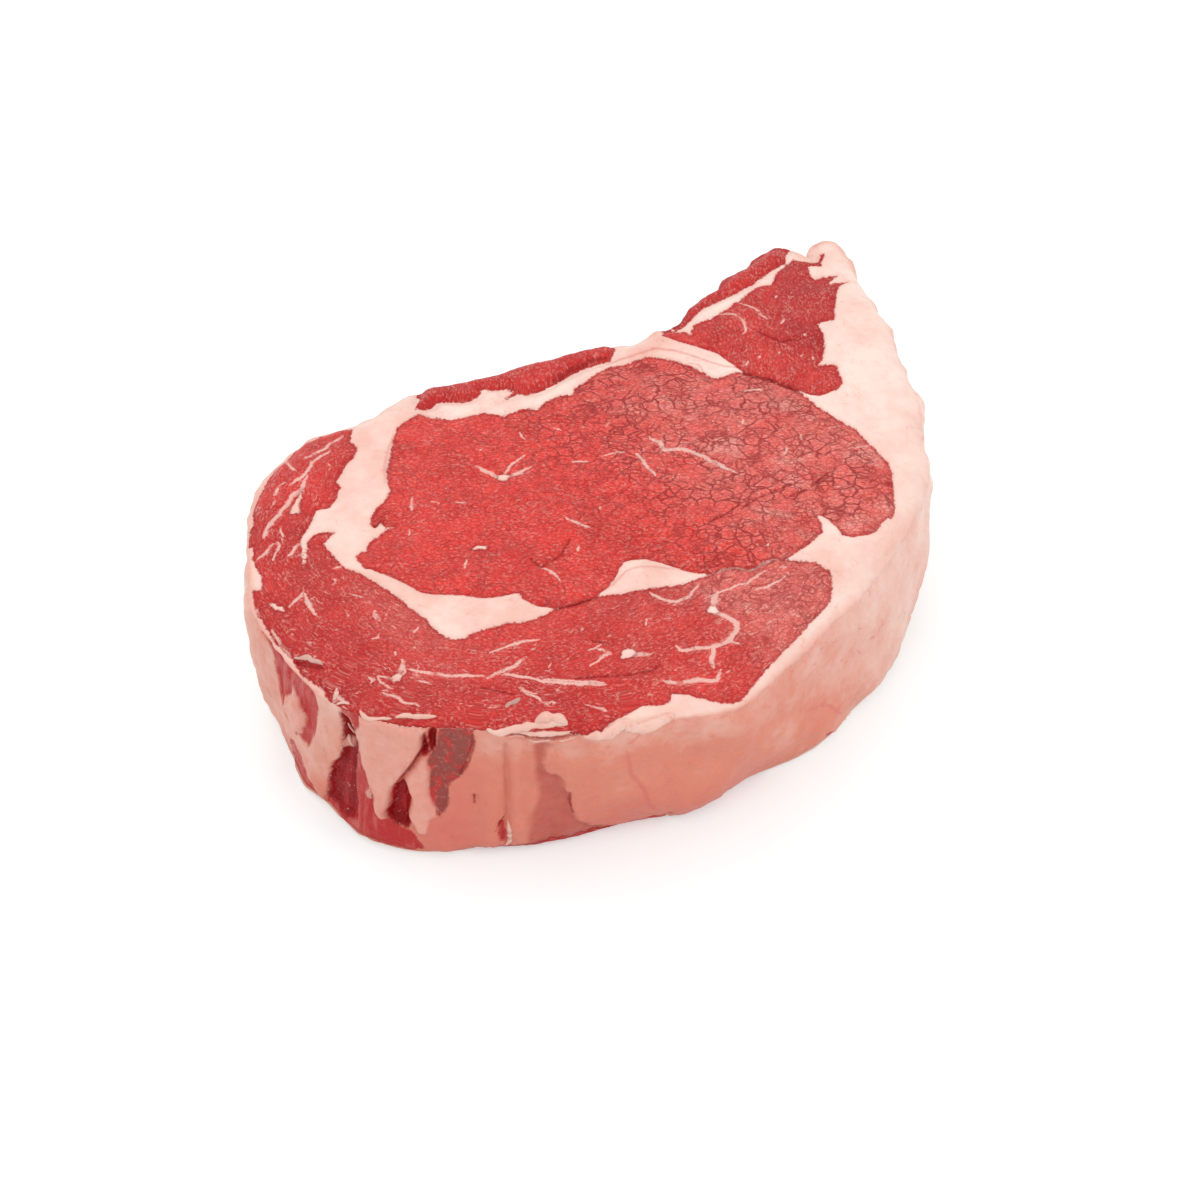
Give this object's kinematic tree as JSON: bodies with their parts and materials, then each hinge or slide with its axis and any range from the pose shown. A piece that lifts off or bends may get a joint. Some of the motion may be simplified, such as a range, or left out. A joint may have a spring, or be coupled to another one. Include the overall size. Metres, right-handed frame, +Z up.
{
  "type": "raw ribeye steak",
  "caption": "Raw boneless ribeye steak lying flat: oval eye muscle, curved cap muscle and narrow tail, with a thick fat cap along one edge.",
  "frame": {"origin": "centre of the bounding box in plan, at the height of the table it lies on", "axes": "+X along the steak towards its narrow tail, +Y towards the edge opposite the fat cap, +Z up out of the upper cut face"},
  "size_m": [0.1648, 0.1114, 0.035],
  "materials": {
    "meat": "moist raw meat with pale fat, soft gloss"
  },
  "bodies": {
    "root": {"steak": "meat"}
  },
  "joints": []
}
